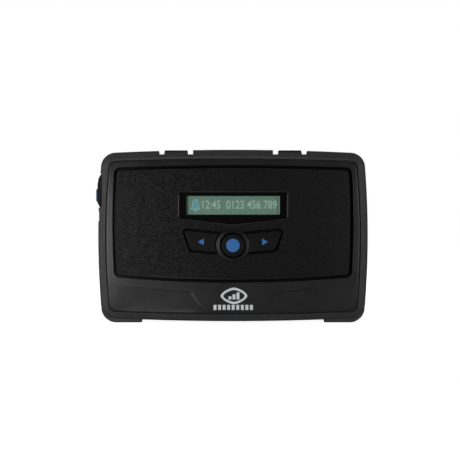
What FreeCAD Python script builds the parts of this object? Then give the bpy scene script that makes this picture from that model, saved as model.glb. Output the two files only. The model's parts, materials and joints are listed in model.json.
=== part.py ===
"""Pocket pager: a landscape hand-held message receiver with a one-line display, two arrow keys, a round
select key, a side call key, a covered charging port, a sliding battery door and a sprung belt clip.

Frame: +X to the viewer's right, +Z up, the display faces -Y, and the pager stands on the two feet of its
bumper at Z = 0. X = 0 is the plane of symmetry and Y = 0 is halfway between the select ring and the clip.
Depths are measured backwards, towards +Y, from the flat front of the bezel. Lengths are in millimetres.
"""

import FreeCAD
import Part

import math
import os

V = FreeCAD.Vector
TINY = 1e-4

# ---- Overall shape. Each outline is (half width, side bow, bottom, bottom bow, top, top bow, corner radius):
# four shallow arcs whose middles stand out from the corners by the bows.
SILHOUETTE = (42.15, 1.2, 0.38, 1.1, 54.0, 1.1, 4.7)
COVER = (39.7, 1.2, 2.7, 0.85, 51.0, 0.7, 2.2)
PANEL = (36.55, 0.55, 13.5, 1.7, 48.1, 0.75, 1.1)
FOOT_OUTLINE = (42.15, 1.37, 0.0, 0.0, 54.0, 1.1, 4.7)

# ---- Depths behind the bezel's front face
RING_PROUD = 0.35        # the select ring stands this far in front of the bezel
PANEL_FACE = 0.2
PANEL_BACK = 1.0         # floor of the recess that holds the faceplate
CHANNEL_FLOOR = 1.7      # floor of the dark channel round the faceplate
LENS_FACE = 0.1
LENS_BACK = 1.35
MASK_BACK = 1.5          # floor of the pocket that holds the window
FRONT_WALL_BACK = 2.4
SPLIT = 6.0              # where the front and rear covers meet
BOARD_FRONT = 6.2
BOARD_BACK = 7.2
TUB_FLOOR = 9.6          # outside of the battery compartment's floor
BATTERY_FRONT = 10.5
BATTERY_BACK = 15.5
INNER_BACK = 14.0        # inside of the rear wall
REAR_FACE = 15.5
DOOR_INNER = 16.2
DOOR_RAIL = 17.0
PLATEAU_FACE = 17.8
ARM_INNER = 22.8         # belt clip's inner face
ARM_OUTER = 24.6
FACE_Y = -(ARM_OUTER - RING_PROUD) / 2

WALL = 1.6               # thickness of the covers' side walls

# ---- Bumper
BUMPER_FRONT = 1.0
BUMPER_BACK = 15.0
FLANK_WIDTH = 2.05       # the sloping front flank, across and in depth
FLANK_DEPTH = 1.1
BACK_BEVEL = 1.5
BUMPER_PLAY = 0.02
PARTING_GAP = 0.16       # dark line between the bezel and the bumper
FOOT_INNER_X = 28.7
FOOT_FRONT = 2.7
FOOT_BACK = 14.4
FOOT_TOP = 4.5
NOTCHES = ((12.5, 14.2), (21.5, 23.25))   # across, on each side of the middle
NOTCH_FLOOR = 52.55
TAB_TOP = 53.2
HOOK_X = (14.3, 21.4)
HOOK_UNDER = 52.9        # underside of the rear cover's hooks, where they lie on the tabs
HOOK_TOP = 53.85
HOOK_FRONT = 3.6
HOOK_LIP = 0.9
HOOK_CATCH = 0.5

# ---- Bezel and gasket
GROOVE = 1.05            # width of the dark channel round the faceplate
CHANNEL_LAP = 0.15       # the channel runs this far under the faceplate
SCOOP_DEPTH = 0.45
SCOOP_OUTER = ((-36.0, 11.6), (-36.0, 3.7))     # the dip's shallow outer end, above and below
SCOOP_CORNER = (-12.6, 9.5)
SCOOP_TIP = (-9.4, 4.4)
SCOOP_DEEPEST = (-13.5, 9.05)
SEAL_INSET = 0.5
SEAL_WIDTH = 0.6
SEAL_THICK = 0.5

# ---- Window and display
WINDOW_HALF = 17.2
WINDOW_TOP = 40.6
WINDOW_SIDE_LOW = 32.6
WINDOW_LOW = 30.65       # the point of the chevron below the display
VIEW_HALF = 14.62
VIEW_LOW = 33.7
VIEW_TOP = 39.5
LCD_HALF = 16.6
LCD_FRONT = 2.5
LCD_LOW = 31.4
LCD_LEDGE_TOP = 32.6
LCD_TOP = 41.3

# ---- Keys
SELECT_Z = 24.1
SELECT_R = 3.65
SELECT_BORE = 4.0
SELECT_DISC_R = 2.1
RING_R = 5.25
RING_TOP = 4.7           # the ring's flattened top, above the centre
RING_CHIN = 5.3          # and its pointed chin, below the centre
RING_SHOULDER_X = 3.0    # where the round sides meet the flattened top
RING_JAW_X = 3.1         # and the chin
RING_EDGE_PROUD = 0.12   # the ring's face falls away to this at its outer edge
RING_SLOPE = 1.0         # width of that slope
BORE_BEVEL = 0.15
KEY_OUTLINE = ((-16.35, 29.65), (-3.0, 28.3), (-4.2, 21.2), (-13.6, 21.95))   # left key's opening
KEY_CORNER = 1.4
KEY_GAP = 0.62
KEY_CENTRE = (-10.1, 25.3)
ARROW_OUTLINE = ((-10.95, 25.2), (-9.1, 26.25), (-9.1, 24.1))
INLAY_DEPTH = 0.3
KEY_HOLE_R = 5.1         # the openings behind the ring end this far from the select key's middle
KEY_END_R = 5.5          # and the arrow keys end here, just outside the ring
KEY_FLANGE_R = 4.9
SELECT_FLANGE_R = 4.5
KEY_FACE = -0.1
SELECT_FACE = -0.25
FLANGE_FRONT = 2.5
FLANGE_BACK = 3.2
FLANGE_GROW = 0.7
STEM_END = 4.2
STEM_R = 1.6
MAT_FRONT = 4.7
MAT_BACK = 5.1
DOME_TOP = 5.7

# ---- Left side: call key and charging port
CALL_Z = (37.7, 41.9)
CALL_DEPTH = (6.4, 10.8)
CALL_Z_MID = sum(CALL_Z) / 2
CALL_DEPTH_MID = sum(CALL_DEPTH) / 2
CALL_FACE_X = -43.0
CALL_SEAT_X = -41.3      # the collar's lip ends here, and the key's flange lies behind it
CALL_STEM_R = 1.0
CALL_STEM_END_X = -38.0
GUARD_Z = (35.9, 46.6)
GUARD_DEPTH = (3.2, 12.3)
GUARD_INNER_X = -39.9
GUARD_OUTLINE = ((-41.65, 35.9), (-42.4, 37.4), (-42.4, 43.2), (-42.1, 45.0), (-41.2, 46.6))
GUARD_RADII = (0.3, 1.0, 2.0, 1.2, 0.3)
GUARD_LIP_X = -41.0      # the rubber in front of the collar is cut back to here
PORT_Z = (26.7, 34.3)
PORT_DEPTH = (7.0, 10.1)
FLAP_Z = (25.6, 35.3)
FLAP_DEPTH = (5.4, 11.7)
FLAP_FACE_X = -42.0
FLAP_THICK = 1.2
NAIL_X = -41.45          # floor of the fingernail notch in front of the flap
NAIL_Z = (31.7, 34.7)
NAIL_FRONT = 1.8
FLAP_PIVOT = (FLAP_FACE_X + FLAP_THICK / 2, FLAP_Z[0] + FLAP_THICK / 2)
FLAP_PIN_R = 0.3

# ---- Rear: battery, door, clip
BATTERY_X = (-24.5, 25.5)
BATTERY_Z = (7.2, 37.2)
BATTERY_PLAY = 0.3
TUB_WALL = 1.0
CONTACT_Z = (17.5, 26.9)
CONTACT_DEPTH = (12.2, 13.6)
PLATEAU = (32.3, 4.6, 49.6)      # half width, bottom, top
DOOR_X = (-27.0, 32.3)
DOOR_Z = (6.4, 38.1)
DOOR_MID_Z = sum(DOOR_Z) / 2
DOOR_TONGUE = 0.8
SLIDE_PLAY = 0.15
PIVOT_Z = 45.0
PIVOT_DEPTH = 21.4
EAR_X = (10.5, 13.0)
EAR_R = 2.0
BARREL_R = 2.0
TIP_INNER = 18.5
SPRING_ROOM = 4.0
SPRING_R = 1.35
SPRING_WIRE_R = 0.28
SPRING_TURNS = 7
SPRING_PITCH = 0.78
SPRING_SLANT = 27.0      # the leg on the plateau leans this many degrees
SPRING_LEGS = (4.6, 5.4)         # on the plateau, and behind the thumb pad
CLIP_HALF = 10.2
CLIP_TIP_Z = 8.2
CLIP_THUMB_Z = 52.0
PIN_R = 0.75
PIN_PLAY = 0.05

# ---- Fasteners
SCREW_X = 35.2
SCREW_ZS = (6.9, 47.0)
BOSS_R = 2.6
SCREW_R = 1.0
HEAD_R = 1.9
HEAD_SEAT = 13.7
INSERT_R = 1.6
INSERT_FRONT = 3.0
BOARD_BOSS_R = 1.7
BOARD_SCREW_R = 0.7
BOARD_SCREW_X = 28.5
BOARD_SCREW_ZS = (9.5, 44.5)

# ---- Board and what stands on it, each as low and high x, low and high z
BOARD = (-36.5, 36.5, 6.2, 48.4)
SHIELD = (-22.0, 0.0, 12.0, 28.0)
SHIELD_HEIGHT = 2.0
SHIELD_SHEET = 0.25
CHIP = (6.0, 16.0, 14.0, 24.0)
CHIP_HEIGHT = 1.3
LEADS = 12               # on each side of the chip
LEAD_PITCH = 0.7
LEAD_WIDTH = 0.3
LEAD_REACH = 0.9
CRYSTAL = (18.6, 23.6, 19.0, 21.2)
CRYSTAL_HEIGHT = 1.4
LOOP = (29.4, 36.0, 12.6, 41.6)
LOOP_STRIP = 0.4
LOOP_DEPTH = (1.0, 5.0)  # behind the board
LOOP_GAP = (25.4, 28.8)
MAT = (-16.0, 16.0, 20.0, 29.9)
DOME_R = 2.1
DOME_SHEET = 0.1

# ---- Motor and sounder
MOTOR_Z = 44.5
MOTOR_DEPTH = 11.0
MOTOR_R = 2.0
MOTOR_X = (-27.0, -17.0)
SHAFT_R = 0.4
WEIGHT_R = 1.9
SOUNDER_X = 24.0
SOUNDER_Z = 44.2
SOUNDER_R = 4.6


# ---------------------------------------------------------------- helpers

def at(depth):
    """Y of the plane that lies this far behind the bezel's front face."""
    return FACE_Y + depth


def box(x0, x1, d0, d1, z0, z1):
    return Part.makeBox(x1 - x0, d1 - d0, z1 - z0, V(x0, at(d0), z0))


def rod(radius, x, z, d0, d1):
    """A cylinder along Y."""
    return Part.makeCylinder(radius, d1 - d0, V(x, at(d0), z), V(0, 1, 0))


def cross_rod(radius, x0, x1, depth, z):
    """A cylinder along X."""
    return Part.makeCylinder(radius, x1 - x0, V(x0, at(depth), z), V(1, 0, 0))


def prism(wire, d0, d1):
    """A wire drawn in the XZ plane, extruded from depth d0 to depth d1."""
    face = Part.Face(wire)
    face.translate(V(0, at(d0), 0))
    return face.extrude(V(0, d1 - d0, 0))


def rounded(points, radii):
    """A closed wire in the XZ plane through the (x, z) points, each corner rounded by its radius."""
    if not isinstance(radii, (list, tuple)):
        radii = [radii] * len(points)
    corners = [V(x, 0, z) for x, z in points]
    ends = []
    for i, corner in enumerate(corners):
        back = (corners[i - 1] - corner).normalize()
        ahead = (corners[(i + 1) % len(corners)] - corner).normalize()
        half = back.getAngle(ahead) / 2
        reach = radii[i] / math.tan(half)
        inward = (back + ahead).normalize()
        middle = corner + inward * (radii[i] / math.sin(half) - radii[i])
        ends.append((corner + back * reach, middle, corner + ahead * reach))
    edges = []
    for i, (start, middle, end) in enumerate(ends):
        if radii[i] > TINY:
            edges.append(Part.Arc(start, middle, end).toShape())
        edges.append(Part.LineSegment(end, ends[(i + 1) % len(ends)][0]).toShape())
    return Part.Wire(edges)


def rounded_box(x0, x1, d0, d1, z0, z1, radius):
    """A box whose edges along Y are rounded."""
    return prism(rounded([(x0, z0), (x1, z0), (x1, z1), (x0, z1)], radius), d0, d1)


def bowed(size, grow, d0, d1):
    """A prism on one of the bowed outlines, made larger all round by grow."""
    half, side_bow, low, low_bow, top, top_bow, corner = size
    half, low, top, corner = half + grow, low - grow, top + grow, corner + grow
    x, z0, z1, middle = half - side_bow, low + low_bow, top - top_bow, (low + top) / 2
    points = [V(-x, 0, z0), V(0, 0, low), V(x, 0, z0), V(half, 0, middle), V(x, 0, z1), V(0, 0, top),
              V(-x, 0, z1), V(-half, 0, middle), V(-x, 0, z0)]
    edges = []
    for i in range(0, 8, 2):
        flat = abs(points[i].z - points[i + 1].z) + abs(points[i + 2].z - points[i + 1].z) < TINY
        curve = Part.LineSegment(points[i], points[i + 2]) if flat else Part.Arc(*points[i:i + 3])
        edges.append(curve.toShape())
    solid = prism(Part.Wire(edges), d0, d1)
    return solid.makeFillet(corner, [e for e in solid.Edges if along_y(e)])


def along_y(edge):
    a, b = edge.Vertexes[0].Point, edge.Vertexes[-1].Point
    return abs(a.x - b.x) < TINY and abs(a.z - b.z) < TINY and abs(a.y - b.y) > TINY


def edges_at(solid, depth):
    """The edges that lie in the plane at this depth."""
    y = at(depth)
    return [e for e in solid.Edges if abs(e.BoundBox.YMin - y) < TINY and abs(e.BoundBox.YMax - y) < TINY]


def wire_at(solid, depth):
    """The outline of the face at this depth."""
    y = at(depth)
    for face in solid.Faces:
        if abs(face.BoundBox.YMin - y) < TINY and abs(face.BoundBox.YMax - y) < TINY:
            return face.OuterWire
    raise ValueError("no face at depth %g" % depth)


def mirrored(shape):
    """The same piece on the other side of the plane of symmetry."""
    return shape.mirror(V(0, 0, 0), V(1, 0, 0))


def both_sides(shape):
    return [shape, mirrored(shape)]


def screw(x, z, head_d, tip_d, head_r, shank_r, head_thick):
    """A cross-head screw that drives forwards from head_d to tip_d."""
    body = rod(head_r, x, z, head_d - head_thick, head_d)
    body = body.makeFillet(head_thick * 0.35, edges_at(body, head_d))
    body = body.fuse(rod(shank_r, x, z, tip_d, head_d - head_thick + 0.01))
    slot, reach = head_r * 0.16, head_r * 0.55
    floor = head_d - head_thick * 0.55
    body = body.cut(box(x - reach, x + reach, floor, head_d + 1, z - slot, z + slot))
    return body.cut(box(x - slot, x + slot, floor, head_d + 1, z - reach, z + reach))


def side_prism(x0, x1, d0, d1, z0, z1, radius):
    """A box whose edges along X are rounded."""
    solid = box(x0, x1, d0, d1, z0, z1)
    return solid.makeFillet(radius, [e for e in solid.Edges if e.BoundBox.XLength > x1 - x0 - TINY])


def profile_prism(points, radii, x0, x1):
    """A closed outline of (depth, z) points with rounded corners, extruded along X."""
    face = Part.Face(rounded(points, radii))
    face.rotate(V(0, 0, 0), V(0, 0, 1), 90)
    face.translate(V(x0, at(0), 0))
    return face.extrude(V(x1 - x0, 0, 0))


# ---------------------------------------------------------------- housing

def window_wire(grow):
    """The window's outline: straight sides and top, and a shallow chevron below."""
    x, low = WINDOW_HALF + grow, WINDOW_SIDE_LOW - grow
    points = [(-x, WINDOW_TOP + grow), (x, WINDOW_TOP + grow), (x, low), (0, WINDOW_LOW - grow), (-x, low)]
    return rounded(points, [1.2, 1.2, 1.0, 1.5, 1.0])


def view_wire(grow):
    x, low, top = VIEW_HALF + grow, VIEW_LOW - grow, VIEW_TOP + grow
    return rounded([(-x, low), (x, low), (x, top), (-x, top)], 0.25)


def inset_polygon(points, gap):
    """The polygon's corners, moved in so that every side lies gap inside its own line."""
    moved = []
    for i, (bx, bz) in enumerate(points):
        lines = []
        for (px, pz), (qx, qz) in ((points[i - 1], (bx, bz)), ((bx, bz), points[(i + 1) % len(points)])):
            length = math.hypot(qx - px, qz - pz)
            nx, nz = (qz - pz) / length, -(qx - px) / length
            lines.append((nx, nz, nx * px + nz * pz + gap))
        (n1, m1, c1), (n2, m2, c2) = lines
        det = n1 * m2 - n2 * m1
        moved.append(((c1 * m2 - c2 * m1) / det, (n1 * c2 - n2 * c1) / det))
    return moved


def key_prism(gap, inner_r, d0, d1):
    """The left key's shape, its sides gap inside the opening and its end cut round the select key."""
    corner = KEY_CORNER - gap
    wire = rounded(inset_polygon(KEY_OUTLINE, gap), [corner, 0, 0, corner])
    return prism(wire, d0, d1).cut(rod(inner_r, 0, SELECT_Z, d0 - 1, d1 + 1))


def ring_wire(grow):
    """The select ring's outline: round sides, a flattened top and a blunt pointed chin."""
    radius = RING_R + grow

    def on_circle(x, side):
        return V(x, 0, SELECT_Z + side * math.sqrt(radius ** 2 - x ** 2))

    top, chin = V(0, 0, SELECT_Z + RING_TOP + grow), V(0, 0, SELECT_Z - RING_CHIN - grow)
    shoulders = [on_circle(x, 1) for x in (-RING_SHOULDER_X, RING_SHOULDER_X)]
    jaws = [on_circle(x, -1) for x in (-RING_JAW_X, RING_JAW_X)]
    edges = [Part.LineSegment(chin, jaws[0]), Part.Arc(jaws[0], V(-radius, 0, SELECT_Z), shoulders[0]),
             Part.Arc(shoulders[0], top, shoulders[1]),
             Part.Arc(shoulders[1], V(radius, 0, SELECT_Z), jaws[1]), Part.LineSegment(jaws[1], chin)]
    return Part.Wire([edge.toShape() for edge in edges])


def port_hole(x0, x1):
    return box(x0, x1, PORT_DEPTH[0], PORT_DEPTH[1], PORT_Z[0], PORT_Z[1])


def flap_pin():
    return rod(FLAP_PIN_R, FLAP_PIVOT[0], FLAP_PIVOT[1], FLAP_DEPTH[0] - 1.4, FLAP_DEPTH[1] + 1.4)


def hook_slots(ring):
    """Cuts the slots beside each tab of the bumper and the bed of the hook that lies on the tab."""
    for a, b in NOTCHES:
        for slot in both_sides(box(a, b, 0, 20, NOTCH_FLOOR, 56)):
            ring = ring.cut(slot)
    x0, x1 = HOOK_X[0] - 0.2, HOOK_X[1] + 0.2
    catch = HOOK_FRONT + HOOK_LIP
    for bed in (box(x0, x1, 0, 20, TAB_TOP, 56), box(x0, x1, HOOK_FRONT, 20, HOOK_UNDER, 56),
                box(x0, x1, HOOK_FRONT, catch, HOOK_UNDER - HOOK_CATCH, 56)):
        for cutter in both_sides(bed):
            ring = ring.cut(cutter)
    return ring


def bumper():
    """Rubber ring round the case, with a sloping front flank, two feet, and slots beside each latch tab."""
    flank_back = BUMPER_FRONT + FLANK_DEPTH
    bevel_front = BUMPER_BACK - BACK_BEVEL
    ring = bowed(SILHOUETTE, 0, flank_back, bevel_front)
    front = bowed(SILHOUETTE, -FLANK_WIDTH, BUMPER_FRONT, flank_back)
    rear = bowed(SILHOUETTE, -BACK_BEVEL, bevel_front, BUMPER_BACK)
    flank = Part.makeLoft([wire_at(front, BUMPER_FRONT), wire_at(ring, flank_back)], True, True)
    bevel = Part.makeLoft([wire_at(ring, bevel_front), wire_at(rear, BUMPER_BACK)], True, True)
    ring = ring.fuse([flank, bevel])
    ring = ring.makeFillet(1.1, edges_at(ring, flank_back))
    ring = ring.makeFillet(1.2, edges_at(ring, bevel_front))
    feet = bowed(FOOT_OUTLINE, 0, FOOT_FRONT, FOOT_BACK)
    feet = feet.makeChamfer(0.35, edges_at(feet, FOOT_FRONT) + edges_at(feet, FOOT_BACK))
    for side in both_sides(box(FOOT_INNER_X, 50, 0, 20, -1, FOOT_TOP)):
        ring = ring.fuse(feet.common(side))
    ring = ring.cut(bowed(COVER, BUMPER_PLAY, BUMPER_FRONT - 1, BUMPER_BACK + 1))
    ring = ring.cut(bowed(COVER, PARTING_GAP, BUMPER_FRONT - 1, BUMPER_FRONT + 0.7))
    ring = hook_slots(ring)
    flap_bed = box(-45, FLAP_FACE_X + FLAP_THICK + 0.2, FLAP_DEPTH[0] - 0.2, FLAP_DEPTH[1] + 0.2,
                   FLAP_Z[0] - 0.45, FLAP_Z[1] + 0.25)
    return ring.cut([box(-45, -38, GUARD_DEPTH[0], GUARD_DEPTH[1], GUARD_Z[0], GUARD_Z[1]),
                     box(-45, GUARD_LIP_X, 0, GUARD_DEPTH[0], GUARD_Z[0], GUARD_Z[1]),
                     box(-45, NAIL_X, NAIL_FRONT, FLAP_DEPTH[0], NAIL_Z[0], NAIL_Z[1]),
                     flap_bed, port_hole(-45, -38), flap_pin()])


def scoop():
    """The shallow dip at the left of the lower band: deepest beside its upper inner corner."""
    upper, lower, tip, corner = [V(x, at(0), z) for x, z in SCOOP_OUTER + (SCOOP_TIP, SCOOP_CORNER)]
    deep = V(SCOOP_DEEPEST[0], at(SCOOP_DEPTH), SCOOP_DEEPEST[1])
    rim = [upper, lower, tip, corner]
    sides = [(rim[i - 1], rim[i], deep) for i in range(len(rim))]
    faces = [Part.Face(Part.makePolygon(list(p) + [p[0]])) for p in [rim] + sides]
    return Part.makeSolid(Part.makeShell(faces))


def channel():
    """The deep dark channel between the faceplate's edge and the bezel."""
    return bowed(PANEL, GROOVE, 0, CHANNEL_FLOOR).cut(bowed(PANEL, -CHANNEL_LAP, -1, CHANNEL_FLOOR + 1))


def case_bosses(radius, d0, d1):
    """Round bosses, or holes, on the axes of the four case screws."""
    return [rod(radius, x, z, d0, d1) for x in (-SCREW_X, SCREW_X) for z in SCREW_ZS]


def board_bosses(radius, d0, d1):
    return [rod(radius, x, z, d0, d1) for x in (-BOARD_SCREW_X, BOARD_SCREW_X) for z in BOARD_SCREW_ZS]


def front_cover():
    """Bezel and front shell: a recess for the faceplate, openings for display and keys, bosses behind."""
    cover = bowed(COVER, 0, 0, SPLIT)
    cover = cover.makeFillet(0.5, edges_at(cover, 0))
    cover = cover.cut(bowed(COVER, -WALL, FRONT_WALL_BACK, SPLIT + 1))
    inside = bowed(COVER, -0.2, FRONT_WALL_BACK - 0.2, SPLIT)
    bosses = [b.common(inside) for b in case_bosses(BOSS_R, FRONT_WALL_BACK - 0.2, SPLIT)]
    bosses += board_bosses(BOARD_BOSS_R, FRONT_WALL_BACK - 0.2, BOARD_FRONT)
    cover = cover.fuse(bosses).removeSplitter()
    cutters = [bowed(PANEL, GROOVE, -1, PANEL_BACK), prism(window_wire(0.1), 0, MASK_BACK),
               prism(view_wire(0.5), 0, SPLIT), rod(SELECT_BORE, 0, SELECT_Z, 0, SPLIT), channel()]
    cutters += both_sides(key_prism(0, KEY_HOLE_R, 0, FRONT_WALL_BACK + 1)) + both_sides(scoop())
    cutters += case_bosses(INSERT_R, INSERT_FRONT, SPLIT + 1)
    cutters += board_bosses(BOARD_SCREW_R, INSERT_FRONT, BOARD_FRONT + 1)
    for cutter in cutters:
        cover = cover.cut(cutter)
    return cover


def hooks():
    """The two snap hooks that reach forwards over the bumper's tabs."""
    front = HOOK_FRONT + 0.1
    arm = box(HOOK_X[0], HOOK_X[1], BUMPER_BACK + 0.05, DOOR_INNER + 0.1, 49.0, HOOK_TOP)
    top = box(HOOK_X[0], HOOK_X[1], front, DOOR_INNER + 0.1, HOOK_UNDER, HOOK_TOP)
    lip = HOOK_FRONT + HOOK_LIP - 0.1
    catch = box(HOOK_X[0], HOOK_X[1], front, lip, HOOK_UNDER - HOOK_CATCH + 0.05, HOOK_TOP)
    hook = arm.fuse([top, catch]).removeSplitter()
    corner = [e for e in edges_at(hook, DOOR_INNER + 0.1) if e.BoundBox.ZMin > HOOK_TOP - TINY]
    return both_sides(hook.makeFillet(0.7, corner))


def door_blank(play, x_end, back):
    """The battery door's plate with the tongues that run in the rails, grown by the sliding play."""
    x0, (z0, z1) = DOOR_X[0] - play, DOOR_Z
    front = DOOR_INNER - play
    plate = box(x0, x_end, front, back, z0 - play, z1 + play)
    tongue = box(x0 - DOOR_TONGUE, x_end, front, DOOR_RAIL + play,
                 z0 - DOOR_TONGUE - play, z1 + DOOR_TONGUE + play)
    return plate.fuse(tongue).removeSplitter()


def sound_slots():
    """Five upright slots over the sounder, longest in the middle."""
    halves = (1.4, 2.4, 2.8, 2.4, 1.4)
    xs = [SOUNDER_X + 1.5 * (i - 2) for i in range(len(halves))]
    width, back = 0.8, PLATEAU_FACE + 1
    side, front = width / 2, INNER_BACK - 1
    return [rounded_box(x - side, x + side, front, back, SOUNDER_Z - h, SOUNDER_Z + h, side - 0.01)
            for x, h in zip(xs, halves)]


def clip_ear():
    """One of the two lugs that carry the belt clip's pin."""
    foot = box(EAR_X[0], EAR_X[1], PLATEAU_FACE - 0.5, PIVOT_DEPTH, PIVOT_Z - EAR_R, PIVOT_Z + EAR_R)
    ear = foot.fuse(cross_rod(EAR_R, EAR_X[0], EAR_X[1], PIVOT_DEPTH, PIVOT_Z)).removeSplitter()
    return ear.cut(cross_rod(PIN_R, EAR_X[0] - 1, EAR_X[1] + 1, PIVOT_DEPTH, PIVOT_Z))


def case_seal():
    """Gasket that lies in a groove of the rear cover, against the front cover's rim."""
    ring = bowed(COVER, -SEAL_INSET, SPLIT, SPLIT + SEAL_THICK)
    return ring.cut(bowed(COVER, -SEAL_INSET - SEAL_WIDTH, SPLIT - 1, SPLIT + 1))


def rear_cover():
    """Rear shell: battery tub, raised plateau with the door's rails, clip ears, hooks and screw bosses."""
    cover = bowed(COVER, 0, SPLIT, REAR_FACE)
    cover = cover.makeFillet(1.0, edges_at(cover, REAR_FACE))
    cover = cover.cut(bowed(COVER, -WALL, SPLIT - 1, INNER_BACK))
    half, low, top = PLATEAU
    plateau = rounded_box(-half, half, INNER_BACK + 0.5, PLATEAU_FACE, low, top, 3.0)
    plateau = plateau.makeFillet(0.7, edges_at(plateau, PLATEAU_FACE))
    (bx0, bx1), (bz0, bz1) = BATTERY_X, BATTERY_Z
    grow = BATTERY_PLAY + TUB_WALL
    tub = box(bx0 - grow, bx1 + grow, TUB_FLOOR, INNER_BACK + 0.6, bz0 - grow, bz1 + grow)
    inside = bowed(COVER, -0.2, SPLIT, REAR_FACE)
    bosses = [b.common(inside) for b in case_bosses(BOSS_R, SPLIT, INNER_BACK + 0.2)]
    cover = cover.fuse([plateau, tub] + hooks() + both_sides(clip_ear()) + bosses).removeSplitter()
    grow = BATTERY_PLAY
    cutters = [box(bx0 - grow, bx1 + grow, BATTERY_FRONT, PLATEAU_FACE + 1, bz0 - grow, bz1 + grow),
               door_blank(SLIDE_PLAY, half + 2, PLATEAU_FACE + 1), case_seal(), port_hole(-42, -36),
               cross_rod(CALL_STEM_R + 0.1, -42, -36, CALL_DEPTH_MID, CALL_Z_MID),
               box(bx0 - 3, bx0, CONTACT_DEPTH[0] - 0.2, CONTACT_DEPTH[1] + 0.2, CONTACT_Z[0], CONTACT_Z[1])]
    cutters += case_bosses(SCREW_R + 0.15, SPLIT - 1, REAR_FACE + 1) + sound_slots()
    cutters += case_bosses(HEAD_R + 0.2, HEAD_SEAT, REAR_FACE + 1)
    for cutter in cutters:
        cover = cover.cut(cutter)
    return cover


def case_screws():
    return [screw(x, z, HEAD_SEAT + 1.3, INSERT_FRONT + 0.3, HEAD_R, SCREW_R, 1.3)
            for x in (-SCREW_X, SCREW_X) for z in SCREW_ZS]


def case_inserts():
    """Brass threaded inserts in the front cover's bosses."""
    outers, inners = case_bosses(INSERT_R, INSERT_FRONT, SPLIT), case_bosses(SCREW_R, 0, SPLIT + 1)
    return [outer.cut(inner) for outer, inner in zip(outers, inners)]


# ---------------------------------------------------------------- front

def faceplate():
    """Thin textured plate with a bevelled edge, open for the window, the keys and the ring."""
    plate = bowed(PANEL, 0, PANEL_FACE, PANEL_BACK)
    plate = plate.cut(prism(window_wire(0.12), 0, PANEL_BACK + 1))
    plate = plate.makeChamfer(0.25, edges_at(plate, PANEL_FACE))
    plate = plate.cut(prism(ring_wire(0.1), 0, PANEL_BACK + 1))
    return plate.cut(both_sides(key_prism(0, 0.5, 0, PANEL_BACK + 1)))


def display_lens():
    lens = prism(window_wire(0), LENS_FACE, LENS_BACK)
    return lens.makeChamfer(0.15, edges_at(lens, LENS_FACE))


def lens_mask():
    """Black print behind the lens, open where the display shows."""
    return prism(window_wire(0), LENS_BACK, MASK_BACK).cut(prism(view_wire(0), LENS_BACK - 1, MASK_BACK + 1))


def lcd_glass():
    """Two panes of display glass; the rear one runs on below as the contact ledge."""
    front = box(-LCD_HALF, LCD_HALF, LCD_FRONT, LCD_FRONT + 0.7, LCD_LEDGE_TOP, LCD_TOP)
    return front.fuse(box(-LCD_HALF, LCD_HALF, LCD_FRONT + 0.7, LCD_FRONT + 1.4, LCD_LOW, LCD_TOP))


def lcd_backlight():
    """Light guide behind the display glass."""
    return side_prism(-LCD_HALF + 0.3, LCD_HALF - 0.3, LCD_FRONT + 1.4, LCD_FRONT + 2.8,
                      LCD_LEDGE_TOP + 0.2, LCD_TOP - 0.3, 0.3)


def lcd_frame():
    """Frame that holds display glass and backlight against the front cover."""
    outer = rounded_box(-LCD_HALF - 1.0, LCD_HALF + 1.0, FRONT_WALL_BACK, BOARD_FRONT,
                        LCD_LOW - 0.8, LCD_TOP + 0.9, 0.6)
    return outer.cut(box(-LCD_HALF - 0.05, LCD_HALF + 0.05, 0, 20, LCD_LOW - 0.05, LCD_TOP + 0.05))


def lcd_connector():
    """Striped rubber strip between the display's ledge and the board."""
    return side_prism(-LCD_HALF + 1.5, LCD_HALF - 1.5, LCD_FRONT + 1.4, BOARD_FRONT,
                      LCD_LOW + 0.05, LCD_LEDGE_TOP + 0.1, 0.2)


def select_ring():
    """Trim ring round the select key: its face slopes away to the outer edge, and its bore is bevelled."""
    outlines = [ring_wire(0), ring_wire(-RING_SLOPE)]
    outlines[0].translate(V(0, at(-RING_EDGE_PROUD), 0))
    outlines[1].translate(V(0, at(-RING_PROUD), 0))
    ring = prism(ring_wire(0), -RING_EDGE_PROUD, PANEL_BACK)
    ring = ring.fuse(Part.makeLoft(outlines, True, True)).removeSplitter()
    bevel = Part.makeCone(SELECT_BORE + BORE_BEVEL, SELECT_BORE, BORE_BEVEL, V(0, at(-RING_PROUD), SELECT_Z),
                          V(0, 1, 0))
    return ring.cut([rod(SELECT_BORE, 0, SELECT_Z, -2, PANEL_BACK + 1), bevel])


def arrow_inlay():
    return prism(rounded(ARROW_OUTLINE, 0.1), KEY_FACE - 0.02, KEY_FACE + INLAY_DEPTH)


def arrow_key():
    """The left key: a cap that fills its opening, a flange behind the panel, and a stem to the mat."""
    cap = key_prism(KEY_GAP, KEY_END_R, KEY_FACE, FLANGE_FRONT)
    cap = cap.makeFillet(0.3, edges_at(cap, KEY_FACE))
    flange = key_prism(-FLANGE_GROW, KEY_FLANGE_R, FLANGE_FRONT, FLANGE_BACK)
    stem = rod(STEM_R, KEY_CENTRE[0], KEY_CENTRE[1], FLANGE_BACK, STEM_END)
    return cap.fuse([flange, stem]).removeSplitter().cut(arrow_inlay())


def select_disc():
    disc = rod(SELECT_DISC_R, 0, SELECT_Z, SELECT_FACE - 0.05, SELECT_FACE + INLAY_DEPTH)
    return disc.makeFillet(0.04, edges_at(disc, SELECT_FACE - 0.05))


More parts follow.
